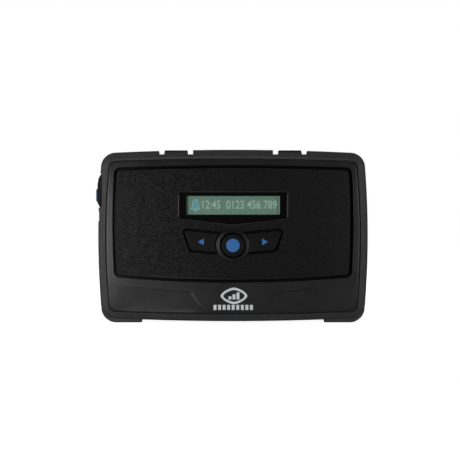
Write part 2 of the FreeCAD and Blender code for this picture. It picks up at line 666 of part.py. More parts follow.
def key_select():
    key = rod(SELECT_R, 0, SELECT_Z, SELECT_FACE, FLANGE_FRONT)
    key = key.makeFillet(0.35, edges_at(key, SELECT_FACE))
    key = key.fuse([rod(SELECT_FLANGE_R, 0, SELECT_Z, FLANGE_FRONT, FLANGE_BACK),
                    rod(STEM_R, 0, SELECT_Z, FLANGE_BACK, STEM_END)]).removeSplitter()
    return key.cut(rod(SELECT_DISC_R, 0, SELECT_Z, -2, SELECT_FACE + INLAY_DEPTH))


def dome_places():
    x, z = KEY_CENTRE
    return [(x, z), (0, SELECT_Z), (-x, z)]


def keypad_mat():
    """Rubber sheet that carries each key's press to its dome."""
    x0, x1, z0, z1 = MAT
    mat = rounded_box(x0, x1, MAT_FRONT, MAT_BACK, z0, z1, 1.0)
    for x, z in dome_places():
        mat = mat.fuse(rod(STEM_R + 0.2, x, z, STEM_END, MAT_FRONT + 0.1))
        mat = mat.fuse(rod(STEM_R / 2, x, z, MAT_BACK - 0.1, DOME_TOP - 0.05))
    return mat.removeSplitter()


def snap_domes():
    """Three domed metal discs on the board, each a thin spherical cap."""
    rise = BOARD_FRONT - DOME_TOP
    ball = (DOME_R ** 2 + rise ** 2) / (2 * rise)
    domes = []
    for x, z in dome_places():
        centre = V(x, at(DOME_TOP + ball), z)
        shell = Part.makeSphere(ball, centre).cut(Part.makeSphere(ball - DOME_SHEET, centre))
        domes.append(shell.common(rod(DOME_R + 1, x, z, DOME_TOP - 1, BOARD_FRONT)))
    return domes


# ---------------------------------------------------------------- board and what it carries

def main_board():
    """Circuit board, notched round the case screws' bosses."""
    x0, x1, z0, z1 = BOARD
    board = rounded_box(x0, x1, BOARD_FRONT, BOARD_BACK, z0, z1, 1.5)
    return board.cut(case_bosses(BOSS_R + 0.4, 0, 20) + board_bosses(BOARD_SCREW_R + 0.1, 0, 20))


def board_screws():
    return [screw(x, z, BOARD_BACK + 0.9, INSERT_FRONT + 0.2, 2 * BOARD_SCREW_R, BOARD_SCREW_R, 0.9)
            for x in (-BOARD_SCREW_X, BOARD_SCREW_X) for z in BOARD_SCREW_ZS]


def rf_shield():
    """Folded can over the receiver circuit."""
    x0, x1, z0, z1 = SHIELD
    back, sheet = BOARD_BACK + SHIELD_HEIGHT, SHIELD_SHEET
    can = box(x0, x1, BOARD_BACK, back, z0, z1)
    can = can.makeFillet(0.4, edges_at(can, back))
    return can.cut(box(x0 + sheet, x1 - sheet, BOARD_BACK - 1, back - sheet, z0 + sheet, z1 - sheet))


def processor():
    """Square chip with leads on all four sides."""
    x0, x1, z0, z1 = CHIP
    back = BOARD_BACK + CHIP_HEIGHT
    chip = box(x0, x1, BOARD_BACK + LEAD_WIDTH / 2, back, z0, z1)
    chip = chip.makeChamfer(0.2, edges_at(chip, back))
    margin = (x1 - x0 - (LEADS - 1) * LEAD_PITCH - LEAD_WIDTH) / 2
    foot = BOARD_BACK + LEAD_WIDTH
    leads = []
    for i in range(LEADS):
        x, z = x0 + margin + LEAD_PITCH * i, z0 + margin + LEAD_PITCH * i
        leads.append(box(x0 - LEAD_REACH, x1 + LEAD_REACH, BOARD_BACK, foot, z, z + LEAD_WIDTH))
        leads.append(box(x, x + LEAD_WIDTH, BOARD_BACK, foot, z0 - LEAD_REACH, z1 + LEAD_REACH))
    return chip.fuse(leads).removeSplitter()


def crystal():
    x0, x1, z0, z1 = CRYSTAL
    return side_prism(x0, x1, BOARD_BACK, BOARD_BACK + CRYSTAL_HEIGHT, z0, z1, 0.5)


def loop_antenna():
    """Upright metal strip bent into an open loop, standing on two feet at the edge of the board."""
    (x0, x1, z0, z1), strip = LOOP, LOOP_STRIP
    d0, d1 = [BOARD_BACK + d for d in LOOP_DEPTH]
    loop = rounded_box(x0, x1, d0, d1, z0, z1, 1.4)
    loop = loop.cut(rounded_box(x0 + strip, x1 - strip, d0 - 1, d1 + 1, z0 + strip, z1 - strip, 1.4 - strip))
    loop = loop.cut(box(x0 - 1, x0 + 1, d0 - 1, d1 + 1, LOOP_GAP[0], LOOP_GAP[1]))
    feet = [box(x0, x0 + strip, BOARD_BACK, d0 + 0.1, z, z + 1.2) for z in (LOOP_GAP[0] - 1.2, LOOP_GAP[1])]
    return loop.fuse(feet).removeSplitter()


def sounder():
    body = rod(SOUNDER_R, SOUNDER_X, SOUNDER_Z, INNER_BACK - 3.2, INNER_BACK - 0.4)
    body = body.makeFillet(0.3, edges_at(body, INNER_BACK - 3.2))
    return body.cut(rod(1.0, SOUNDER_X, SOUNDER_Z, INNER_BACK - 1.2, INNER_BACK))


def sounder_gasket():
    """Foam ring between the sounder and the rear wall, round the slots."""
    ring = rod(SOUNDER_R, SOUNDER_X, SOUNDER_Z, INNER_BACK - 0.4, INNER_BACK)
    return ring.cut(rod(SOUNDER_R - 0.8, SOUNDER_X, SOUNDER_Z, INNER_BACK - 1, INNER_BACK + 1))


def motor_can():
    """Vibration motor, with the bearing bore that its shaft runs in."""
    can = cross_rod(MOTOR_R, MOTOR_X[0], MOTOR_X[1], MOTOR_DEPTH, MOTOR_Z)
    return can.cut(cross_rod(SHAFT_R + 0.05, MOTOR_X[0] - 1, MOTOR_X[1] - 1, MOTOR_DEPTH, MOTOR_Z))


def motor_boot():
    """Rubber cradle that holds the motor against the rear wall."""
    boot = box(MOTOR_X[0] + 0.8, MOTOR_X[1] - 0.8, MOTOR_DEPTH - MOTOR_R - 0.5, INNER_BACK,
               MOTOR_Z - MOTOR_R - 0.7, MOTOR_Z + MOTOR_R + 0.7)
    return boot.cut(cross_rod(MOTOR_R, -45, 0, MOTOR_DEPTH, MOTOR_Z))


def motor_shaft():
    return cross_rod(SHAFT_R, MOTOR_X[0] - 3.6, MOTOR_X[1] - 1.5, MOTOR_DEPTH, MOTOR_Z)


def motor_weight():
    """Half-round tungsten weight, off centre on the shaft."""
    x0, x1 = MOTOR_X[0] - 3.4, MOTOR_X[0] - 0.6
    weight = cross_rod(WEIGHT_R, x0, x1, MOTOR_DEPTH, MOTOR_Z)
    weight = weight.cut(box(x0 - 1, x1 + 1, 5, 18, MOTOR_Z + 0.75, MOTOR_Z + 4))
    return weight.cut(cross_rod(SHAFT_R, x0 - 1, x1 + 1, MOTOR_DEPTH, MOTOR_Z))


# ---------------------------------------------------------------- left side

def call_block(grow, x0, x1, radius):
    """The call key's square section, grown all round, with rounded corners."""
    return side_prism(x0, x1, CALL_DEPTH[0] - grow, CALL_DEPTH[1] + grow, CALL_Z[0] - grow, CALL_Z[1] + grow,
                      radius)


def side_guard():
    """Soft collar that stands proud round the call key."""
    z0, z1 = GUARD_Z
    outline = [(GUARD_INNER_X, z0)] + list(GUARD_OUTLINE) + [(GUARD_INNER_X, z1)]
    guard = prism(rounded(outline, [0] + list(GUARD_RADII) + [0]), GUARD_DEPTH[0], GUARD_DEPTH[1])
    guard = guard.cut(call_block(0.25, -45, -38, 1.1))
    return guard.cut(call_block(0.9, CALL_SEAT_X, -38, 1.2))


def call_key():
    """The side key: a domed cap, a flange held behind the collar, and a stem through the case wall."""
    cap = call_block(0, CALL_FACE_X, CALL_SEAT_X + 0.1, 0.9)
    face = [e for e in cap.Edges if e.BoundBox.XMax < CALL_FACE_X + TINY]
    cap = cap.makeFillet(0.55, face)
    flange = call_block(0.6, CALL_SEAT_X + 0.1, CALL_SEAT_X + 0.7, 1.0)
    stem = cross_rod(CALL_STEM_R, CALL_SEAT_X + 0.7, CALL_STEM_END_X, CALL_DEPTH_MID, CALL_Z_MID)
    return cap.fuse([flange, stem]).removeSplitter()


def call_switch():
    """Switch body on the board's edge."""
    body = box(CALL_STEM_END_X + 0.6, CALL_STEM_END_X + 3.6, BOARD_BACK, CALL_DEPTH_MID + 1.4,
               CALL_Z_MID - 2.5, CALL_Z_MID + 2.5)
    body = body.makeChamfer(0.2, edges_at(body, CALL_DEPTH_MID + 1.4))
    return body.cut(call_plunger())


def call_plunger():
    return side_prism(CALL_STEM_END_X, CALL_STEM_END_X + 1.6, CALL_DEPTH_MID - 0.5, CALL_DEPTH_MID + 0.5,
                      CALL_Z_MID - 0.7, CALL_Z_MID + 0.7, 0.2)


def port_socket():
    """Folded metal socket with a tongue inside, on the back of the board."""
    x0, x1 = -38.0, -32.6
    d0, d1, (z0, z1) = BOARD_BACK, PORT_DEPTH[1] - 0.2, PORT_Z
    shell = side_prism(x0, x1, d0, d1, z0 + 0.1, z1 - 0.1, 0.6)
    shell = shell.cut(side_prism(x0 - 1, x1 - 0.4, d0 + 0.3, d1 - 0.3, z0 + 0.4, z1 - 0.4, 0.4))
    middle = (d0 + d1) / 2
    return shell.fuse(box(x0 + 0.8, x1 - 0.2, middle - 0.35, middle + 0.35, z0 + 1.5, z1 - 1.5))


def port_flap():
    """Hinged cover of the charging port: a round knuckle below and a plug that fills the port."""
    x, z = FLAP_PIVOT
    inner = FLAP_FACE_X + FLAP_THICK
    plate = box(FLAP_FACE_X, inner, FLAP_DEPTH[0], FLAP_DEPTH[1], z, FLAP_Z[1])
    corners = [e for e in plate.Edges if e.BoundBox.XLength > FLAP_THICK - TINY and e.BoundBox.ZMin > z + 1]
    plate = plate.makeFillet(1.2, corners)
    plug = side_prism(inner - 0.1, inner + 0.9, PORT_DEPTH[0] + 0.35, PORT_DEPTH[1] - 0.35,
                      PORT_Z[0] + 0.4, PORT_Z[1] - 0.4, 0.5)
    flap = plate.fuse([rod(FLAP_THICK / 2, x, z, FLAP_DEPTH[0], FLAP_DEPTH[1]), plug]).removeSplitter()
    return flap.cut(rod(FLAP_PIN_R + 0.06, x, z, 0, 20))


# ---------------------------------------------------------------- rear

def battery_pack():
    """Flat rechargeable pack."""
    (x0, x1), (z0, z1) = BATTERY_X, BATTERY_Z
    return rounded_box(x0, x1, BATTERY_FRONT + 0.1, BATTERY_BACK, z0, z1, 1.0)


def contact_places():
    """The z of the middle of each of the three battery blades."""
    middle, pitch = sum(CONTACT_Z) / 2, 3.0
    return [middle - pitch, middle, middle + pitch]


def contact_block():
    """Moulded block on the board that carries the blades."""
    x1 = BATTERY_X[0] - BATTERY_PLAY - TUB_WALL
    block = box(x1 - 2.6, x1, BOARD_BACK, CONTACT_DEPTH[1], CONTACT_Z[0] + 0.2, CONTACT_Z[1] - 0.2)
    return block.cut(contact_blades())


def contact_blades():
    """Three gilt strips that reach through the compartment's wall to the pack."""
    x0, x1 = BATTERY_X[0] - BATTERY_PLAY - TUB_WALL - 1.0, BATTERY_X[0]
    return [side_prism(x0, x1, CONTACT_DEPTH[0] + 0.2, CONTACT_DEPTH[1] - 0.2, z - 0.8, z + 0.8, 0.2)
            for z in contact_places()]


def battery_door():
    """Sliding door with finger ridges near its open end."""
    door = door_blank(0, DOOR_X[1], PLATEAU_FACE)
    right = [e for e in edges_at(door, PLATEAU_FACE) if e.BoundBox.XMin > DOOR_X[1] - TINY]
    door = door.makeFillet(0.7, right)
    for i in range(6):
        x = DOOR_X[1] - 3.0 - 1.5 * i
        door = door.cut(rounded_box(x - 0.35, x + 0.35, PLATEAU_FACE - 0.4, PLATEAU_FACE + 1,
                                    DOOR_MID_Z - 7.0, DOOR_MID_Z + 7.0, 0.34))
    return door


def clip_shape():
    """The clip's side profile: thumb pad, barrel, long arm and inturned tip."""
    tip = [(ARM_OUTER, CLIP_THUMB_Z), (ARM_OUTER, CLIP_TIP_Z + 2.6), (ARM_INNER - 0.3, CLIP_TIP_Z),
           (TIP_INNER, CLIP_TIP_Z), (TIP_INNER, CLIP_TIP_Z + 2.2), (ARM_INNER, CLIP_TIP_Z + 6.4),
           (ARM_INNER, CLIP_THUMB_Z)]
    arm = profile_prism(tip, [0.8, 2.4, 1.6, 0.9, 0.9, 3.0, 0.6], -CLIP_HALF, CLIP_HALF)
    barrel = cross_rod(BARREL_R, -CLIP_HALF, CLIP_HALF, PIVOT_DEPTH, PIVOT_Z)
    web = box(-CLIP_HALF, CLIP_HALF, PIVOT_DEPTH, ARM_INNER + 0.5, PIVOT_Z - BARREL_R, PIVOT_Z + BARREL_R)
    return arm.fuse([barrel, web]).removeSplitter()


def belt_clip():
    """Sprung clip: tapers towards its tip, with thumb ridges above the pin and room for the spring."""
    taper, z0, z1 = CLIP_HALF - 1.6, CLIP_TIP_Z, CLIP_THUMB_Z
    plan = rounded([(-CLIP_HALF, z1), (CLIP_HALF, z1), (CLIP_HALF, PIVOT_Z - 6), (taper, z0), (-taper, z0),
                    (-CLIP_HALF, PIVOT_Z - 6)], [3.0, 3.0, 20.0, 3.4, 3.4, 20.0])
    clip = clip_shape().common(prism(plan, 0, ARM_OUTER + 1))
    room_floor = PIVOT_DEPTH + SPRING_R + SPRING_WIRE_R + 0.02
    spring_room = box(-SPRING_ROOM, SPRING_ROOM, PIVOT_DEPTH - 3, room_floor,
                      PIVOT_Z - BARREL_R - 0.4, PIVOT_Z + SPRING_LEGS[1] + 0.4)
    clip = clip.cut([spring_room, cross_rod(PIN_R + PIN_PLAY, -20, 20, PIVOT_DEPTH, PIVOT_Z)])
    for i in range(4):
        z = PIVOT_Z + 1.6 + 1.3 * i
        clip = clip.cut(box(-7.0, 7.0, ARM_OUTER - 0.4, ARM_OUTER + 1, z - 0.3, z + 0.3))
    return clip


def clip_pin():
    pin = cross_rod(PIN_R, -EAR_X[1], EAR_X[1], PIVOT_DEPTH, PIVOT_Z)
    return pin.makeChamfer(0.2, [e for e in pin.Edges if e.BoundBox.XLength < TINY])


def clip_spring():
    """Torsion spring round the pin: one leg lies on the plateau, the other behind the thumb pad."""
    length = SPRING_PITCH * (SPRING_TURNS + (180 - SPRING_SLANT) / 360)
    rise = SPRING_PITCH / (2 * math.pi)

    def on_helix(turn):
        """The point at this angle, and the wire's direction there."""
        across, up = V(math.cos(turn), math.sin(turn), 0), V(-math.sin(turn), math.cos(turn), 0)
        return across * SPRING_R + V(0, 0, rise * turn), (up * SPRING_R + V(0, 0, rise)).normalize()

    first, first_way = on_helix(0)
    last, last_way = on_helix(length / rise)
    start, end = first - first_way * SPRING_LEGS[0], last + last_way * SPRING_LEGS[1]
    path = [Part.LineSegment(start, first).toShape(), Part.makeHelix(SPRING_PITCH, length, SPRING_R),
            Part.LineSegment(last, end).toShape()]
    section = Part.Wire(Part.Circle(start, first_way, SPRING_WIRE_R).toShape())
    spring = Part.Wire(path).makePipeShell([section], True, True)
    spring.rotate(V(0, 0, 0), V(0, 1, 0), 90)
    spring.rotate(V(0, 0, 0), V(1, 0, 0), SPRING_SLANT - 90)
    spring.translate(V(-length / 2, at(PIVOT_DEPTH), PIVOT_Z))
    return spring


# ---------------------------------------------------------------- all nodes

NODES = {
    "bumper": bumper,
    "front_cover": front_cover,
    "rear_cover": rear_cover,
    "case_seal": case_seal,
    "case_screws": case_screws,
    "case_inserts": case_inserts,
    "faceplate": faceplate,
    "display_lens": display_lens,
    "lens_mask": lens_mask,
    "lcd_glass": lcd_glass,
    "lcd_backlight": lcd_backlight,
    "lcd_frame": lcd_frame,
    "lcd_connector": lcd_connector,
    "select_ring": select_ring,
    "key_left": arrow_key,
    "key_right": lambda: mirrored(arrow_key()),
    "key_select": key_select,
    "arrow_left": arrow_inlay,
    "arrow_right": lambda: mirrored(arrow_inlay()),
    "select_disc": select_disc,
    "keypad_mat": keypad_mat,
    "snap_domes": snap_domes,
    "main_board": main_board,
    "board_screws": board_screws,
    "rf_shield": rf_shield,
    "processor": processor,
    "crystal": crystal,
    "loop_antenna": loop_antenna,
    "sounder": sounder,
    "sounder_gasket": sounder_gasket,
    "motor_can": motor_can,
    "motor_boot": motor_boot,
    "motor_shaft": motor_shaft,
    "motor_weight": motor_weight,
    "side_guard": side_guard,
    "call_key": call_key,
    "call_switch": call_switch,
    "call_plunger": call_plunger,
    "port_socket": port_socket,
    "port_flap": port_flap,
    "flap_pin": flap_pin,
    "battery_pack": battery_pack,
    "contact_block": contact_block,
    "contact_blades": contact_blades,
    "battery_door": battery_door,
    "belt_clip": belt_clip,
    "clip_pin": clip_pin,
    "clip_spring": clip_spring,
}


def main():
    os.makedirs("parts", exist_ok=True)
    for name, make in NODES.items():
        made = make()
        shape = Part.makeCompound(made) if isinstance(made, list) else made
        if not shape.isValid():
            print("not valid:", name)
        print("%-16s %2d solids %10.2f mm3" % (name, len(shape.Solids), shape.Volume))
        shape.exportStep("parts/%s.step" % name)


main()
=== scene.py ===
"""Looks of the pocket pager: materials for every CAD node, the printed mark, the display's content, the
battery's label and the clip's spring, a pale stage, soft studio light and a camera square to the display."""

import json
import math

import bmesh
import bpy
from mathutils import Matrix, Vector


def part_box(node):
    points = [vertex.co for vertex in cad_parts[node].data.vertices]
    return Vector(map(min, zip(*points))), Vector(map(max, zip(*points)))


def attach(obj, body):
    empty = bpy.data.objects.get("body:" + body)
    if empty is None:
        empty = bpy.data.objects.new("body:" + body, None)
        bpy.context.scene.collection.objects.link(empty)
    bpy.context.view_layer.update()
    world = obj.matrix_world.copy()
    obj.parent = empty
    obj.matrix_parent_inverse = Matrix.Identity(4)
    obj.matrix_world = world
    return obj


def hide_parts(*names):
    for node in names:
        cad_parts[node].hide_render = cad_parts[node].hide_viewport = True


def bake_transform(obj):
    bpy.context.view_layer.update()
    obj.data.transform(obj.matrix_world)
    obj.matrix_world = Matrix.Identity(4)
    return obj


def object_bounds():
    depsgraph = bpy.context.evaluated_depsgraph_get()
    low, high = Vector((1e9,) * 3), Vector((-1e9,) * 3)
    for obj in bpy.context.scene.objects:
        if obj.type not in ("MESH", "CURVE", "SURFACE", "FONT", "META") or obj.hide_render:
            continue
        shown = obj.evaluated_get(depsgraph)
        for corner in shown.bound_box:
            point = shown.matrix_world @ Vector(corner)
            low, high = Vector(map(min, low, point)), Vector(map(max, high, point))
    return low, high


MM = 0.001

GLOW_NEAR, GLOW_FAR = 0.95, 1.15      # the stage's own light beside the object and 1.5 m away
STAGE_BOUNCE = 0.7                    # how much of the lamps' light the stage throws back
SKY = 0.028                           # strength of the even light from all round

CAMERA_DISTANCE = 0.85                # from the front face, all in metres
CAMERA_X, CAMERA_Z = -0.00094, 0.0289
VIEW_WIDTH = 0.1434                   # what the picture takes in at the front face
SENSOR_WIDTH = 36.0

# Looks by place, in millimetres. A pair is where a change begins and where it is complete.
# Painted shade: past given depths a surface turns this near-black and dull, in place of the shade in
# recesses
PAINTED_SHADE_BLACK = (0.0035, 0.0035, 0.0037)
PAINTED_SHADE_SPECULAR = 0.12
FACE_CROWN = (25.2, 2.4e-7, 1.8e-6)   # the bezel's middle height, and its fall along X and Z, for crown()
PANEL_CROWN = (31.0, 4.0e-7, 1.2e-6)  # and the faceplate's
CHANNEL_SHADE = (0.46, 0.60)           # behind the front face, the channel turns black: painted shade
KEY_SIDE_SHADE = (-0.03, 0.14)         # and so do the arrow keys' rounded edges: painted shade too
CHAMFER_START = (0.03, 0.08)          # behind the faceplate's own face, the pale band of its chamfers starts: a painted highlight
CHAMFER_END = (0.26, 0.34)            # and ends
PANEL_SIDE_SHADE = (0.30, 0.42)        # and its side turns black: painted shade
STROKES_LIGHT_FADE = (-22.0, 4.0)           # from left to right, the faceplate's strokes fade: a painted fade that follows the light from the left
WINDOW_GROUND_AND_HIGHLIGHT = (0.34, 0.22)          # this near to the window's ends, it turns frosted, and pale grey as a painted highlight
DISPLAY_SHADE = (-14.15, -13.95)      # the display's film carries a painted shadow left of here
DISPLAY_PALE = (14.0, 14.15)          # and paler right of here, beyond a thin line of painted shade
DISPLAY_SHADE_LINE = (0.06, 0.18)           # this far from that line's middle, its painted shade fades out
DISPLAY_CELL_HALF = 0.105             # half the spacing of the film's faint cells

# Printed pieces, in millimetres
PRINT_THICK, PRINT_PROUD, PRINT_SUNK = 0.04, 0.03, 0.01
DISPLAY_LIFT = 0.02                   # the segments' height over the glass
SEGMENT_THICK = 0.03

# The mark on the lower band: bars that rise to the right in a lozenge ring, over a row of short bars
MARK_X, RING_Z, RING_POWER = 0.3, 8.36, 1.5
RING_HALVES, RING_HOLE_HALVES = (4.2, 2.6), (3.35, 1.85)
MARK_BAR_HALF = 0.46
RISING_COUNT, RISING_PITCH, RISING_Z, RISING_HALF, RISING_STEP = 3, 1.25, 7.75, 0.5, 0.3
ROW_COUNT, ROW_X, ROW_PITCH, ROW_Z, ROW_HALF = 9, 0.06, 1.42, 4.77, 0.8

# The display's figures fill this box, and the bell stands at its left
FIGURES = "12:45  0123 456 789"
FIGURES_LOW, FIGURES_HIGH = (-9.6, 0.0, 35.5), (13.7, 0.0, 38.15)
BELL_X, BELL_LOW, BELL_HIGH, BELL_HALF = -11.75, 35.3, 38.45, 1.45
BELL_DOME, BELL_LIP = 0.95, 0.4       # heights of the dome, of the skirt's flare and of its straight lip

# The battery's label and the door's arrow
LABEL_SHIFT = 2.0                     # the label's middle is this far from the battery's
LABEL_HALVES, LABEL_HOLE_HALVES, LABEL_POWER = (19.0, 11.5), (18.6, 11.1), 14.0
LABEL_LINES = (9.0, 14.5, 12.0, 14.0, 6.5, 11.0, 8.0)
LABEL_LINE_LEFT, LABEL_LINE_TOP, LABEL_LINE_PITCH, LABEL_LINE_HALF = -17.0, 7.5, 2.2, 0.35
POLE_INSET, POLE_APART, POLE_REACH, POLE_HALF = 4.0, 3.0, 1.2, 0.3
POLE_ARM, POLE_ARM_HALF = 0.75, 0.45  # the plus sign's upright is an arm above and one below
DOOR_ARROW_INSET = 15.5
DOOR_ARROW = ((-1.3, -2.2), (1.9, 0.0), (-1.3, 2.2))

# The clip's spring as the CAD part has it, in millimetres and degrees
SPRING_R = 1.35
SPRING_WIRE_R = 0.28
SPRING_PITCH = 0.78
SPRING_TURNS = 7
SPRING_SLANT = 27.0
SPRING_LEGS = (4.6, 5.4)
SPRING_LEG_PARTS = (0.08, 0.25, 0.5, 0.75, 1.0)
SPRING_TURN_STEPS = 24
SPRING_WIRE_SIDES = 12

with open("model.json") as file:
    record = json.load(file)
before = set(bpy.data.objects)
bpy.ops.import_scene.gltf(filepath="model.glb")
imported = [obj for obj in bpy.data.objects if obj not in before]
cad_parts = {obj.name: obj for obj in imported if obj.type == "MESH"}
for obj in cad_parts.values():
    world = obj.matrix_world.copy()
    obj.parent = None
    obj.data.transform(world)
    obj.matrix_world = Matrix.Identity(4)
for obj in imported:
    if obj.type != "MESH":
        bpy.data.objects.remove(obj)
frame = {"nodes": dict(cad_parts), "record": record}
cad_low, cad_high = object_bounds()


# ---------------------------------------------------------------- node helpers

class Surface:
    """A material under construction: its tree, its Principled shader and short ways to add nodes."""

    def __init__(self, name, roughness, **values):
        self.material = bpy.data.materials.new(name)
        self.material.use_nodes = True
        self.tree = self.material.node_tree
        self.shader = self.tree.nodes["Principled BSDF"]
        self.shader.inputs["Roughness"].default_value = roughness
        for socket, value in values.items():
            self.shader.inputs[socket.replace("_", " ")].default_value = value
        self.place = self.node("ShaderNodeTexCoord").outputs["Object"]

    def node(self, kind, **values):
        node = self.tree.nodes.new(kind)
        for key, value in values.items():
            setattr(node, key, value)
        return node

    def link(self, source, target):
        self.tree.links.new(source, target)

    def feed(self, source, socket):
        """Connects an output to a socket of the shader."""
        self.link(source, self.shader.inputs[socket])

    def points(self, stretch=(1, 1, 1)):
        """Object coordinates in millimetres, stretched along the axes."""
        mapping = self.node("ShaderNodeMapping")
        mapping.inputs["Scale"].default_value = [s / MM for s in stretch]
        self.link(self.place, mapping.inputs["Vector"])
        return mapping.outputs["Vector"]

    def noise(self, per_mm, detail=2.0, rough=0.5, stretch=(1, 1, 1), distortion=0.0):
        node = self.node("ShaderNodeTexNoise")
        node.inputs["Scale"].default_value = per_mm
        node.inputs["Detail"].default_value = detail
        node.inputs["Roughness"].default_value = rough
        node.inputs["Distortion"].default_value = distortion
        self.link(self.points(stretch), node.inputs["Vector"])
        return node.outputs["Fac"]

    def cells(self, per_mm, stretch=(1, 1, 1)):
        node = self.node("ShaderNodeTexVoronoi")
        node.inputs["Scale"].default_value = per_mm
        self.link(self.points(stretch), node.inputs["Vector"])
        return node.outputs["Distance"]

    def ramp(self, source, low, high, from_value=0.0, to_value=1.0):
        """Maps low..high to from_value..to_value, clamped."""
        node = self.node("ShaderNodeMapRange")
        sockets = ("From Min", "From Max", "To Min", "To Max")
        for socket, value in zip(sockets, (low, high, from_value, to_value)):
            node.inputs[socket].default_value = value
        self.link(source, node.inputs["Value"])
        return node.outputs["Result"]

    def maths(self, operation, a, b):
        node = self.node("ShaderNodeMath", operation=operation)
        for i, value in enumerate((a, b)):
            if isinstance(value, (int, float)):
                node.inputs[i].default_value = value
            else:
                self.link(value, node.inputs[i])
        return node.outputs["Value"]

    def mix(self, factor, a, b):
        """A colour between a and b, each a triple or an output."""
        node = self.node("ShaderNodeMix", data_type="RGBA")
        self.link(factor, node.inputs["Factor"])
        for socket, value in ((node.inputs[6], a), (node.inputs[7], b)):
            if isinstance(value, (list, tuple)):
                socket.default_value = (*value, 1.0)
            else:
                self.link(value, socket)
        return node.outputs[2]

    def soft_edges(self, radius_mm):
        """The normal with every sharp edge rounded by this radius."""
        node = self.node("ShaderNodeBevel", samples=4)
        node.inputs["Radius"].default_value = radius_mm * MM
        return node.outputs["Normal"]

    def edge_mask(self, radius_mm):
        """About 1 along sharp edges and 0 on flat faces."""
        geometry = self.node("ShaderNodeNewGeometry")
        dot = self.node("ShaderNodeVectorMath", operation="DOT_PRODUCT")
        self.link(self.soft_edges(radius_mm), dot.inputs[0])
        self.link(geometry.outputs["Normal"], dot.inputs[1])
        return self.ramp(dot.outputs["Value"], 0.995, 0.90)

    def axis(self, name):
        """One object coordinate in millimetres."""
        split = self.node("ShaderNodeSeparateXYZ")
        self.link(self.points(), split.inputs["Vector"])
        return split.outputs[name]

    def sunk(self, start, end):
        """0 down to `start` millimetres behind the case's front face and 1 beyond `end`."""
        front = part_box("front_cover")[0].y / MM
        return self.ramp(self.axis("Y"), front + start, front + end)

    def paint_depth_shade(self, colour, depths, specular):
        """The colour, but near-black and dull beyond these depths: painted shade, as in the channel."""
        depth_shade = self.sunk(*depths)
        self.feed(self.ramp(depth_shade, 0.0, 1.0, specular, PAINTED_SHADE_SPECULAR), "Specular IOR Level")
        return self.mix(depth_shade, colour, PAINTED_SHADE_BLACK)

    def crown(self, middle_z, bow_x, bow_z, normal=None):
        """The normal of a face that falls away towards its rim, as the fourth power of the distance."""
        falls = []
        for axis, middle, bow in (("X", 0.0, bow_x), ("Z", middle_z, bow_z)):
            away = self.maths("ABSOLUTE", self.maths("SUBTRACT", self.axis(axis), middle), 0.0)
            falls.append(self.maths("MULTIPLY", self.maths("POWER", away, 4.0), -bow))
        return self.bump(self.maths("ADD", *falls), 1.0, normal)

    def bump(self, height, depth_mm, normal=None):
        """The normal, or the face's own, disturbed by a height of this depth."""
        node = self.node("ShaderNodeBump")
        node.inputs["Strength"].default_value = 1.0
        node.inputs["Distance"].default_value = depth_mm * MM
        self.link(height, node.inputs["Height"])
        if normal is not None:
            self.link(normal, node.inputs["Normal"])
        return node.outputs["Normal"]


# ---------------------------------------------------------------- materials

def moulded(name, dark, light, roughness, grain_per_mm=7.0, grain_mm=0.006, edge=0.0, edge_mm=0.12,
            crown=None, shade_depths=None, specular=0.5, **values):
    """Moulded plastic or rubber: fine grain, slow colour drift, softened and slightly rubbed edges, and
    painted shade past any given depths.
    """
    s = Surface(name, roughness, Specular_IOR_Level=specular, **values)
    grain = s.noise(grain_per_mm, 3.0, 0.6)
    drift = s.noise(0.09, 2.0)
    colour = s.mix(s.ramp(drift, 0.3, 0.7), dark, light)
    if edge:
        worn = s.maths("MULTIPLY", s.edge_mask(edge_mm * 2.2), s.ramp(s.noise(1.1, 3.0), 0.35, 0.65))
        rubbed = tuple(min(1.0, c * 2.0 + 0.01) for c in light)
        colour = s.mix(s.maths("MULTIPLY", worn, edge), colour, rubbed)
    # painted shade: near-black and dull past the given depths
    if shade_depths:
        colour = s.paint_depth_shade(colour, shade_depths, specular)
    s.feed(colour, "Base Color")
    speckle = s.maths("ADD", s.ramp(grain, 0.3, 0.7, -0.05, 0.05), s.ramp(drift, 0.3, 0.7, -0.03, 0.03))
    s.feed(s.maths("ADD", speckle, roughness), "Roughness")
    normal = s.soft_edges(edge_mm)
    if crown:
        normal = s.crown(*crown, normal)
    s.feed(s.bump(grain, grain_mm, normal), "Normal")
    return s.material


def metal(name, colour, roughness, stretch=(1, 1, 1), grain_mm=0.003):
    """Bare or plated metal with drawing lines and faint stains."""
    s = Surface(name, roughness, Metallic=1.0)
    lines = s.noise(9.0, 3.0, 0.6, stretch)
    stains = s.noise(0.5, 3.0)
    dull = tuple(c * 0.75 for c in colour)
    s.feed(s.mix(s.ramp(stains, 0.35, 0.7), colour, dull), "Base Color")
    s.feed(s.ramp(lines, 0.3, 0.7, roughness - 0.07, roughness + 0.09), "Roughness")
    s.feed(s.bump(lines, grain_mm, s.soft_edges(0.05)), "Normal")
    return s.material


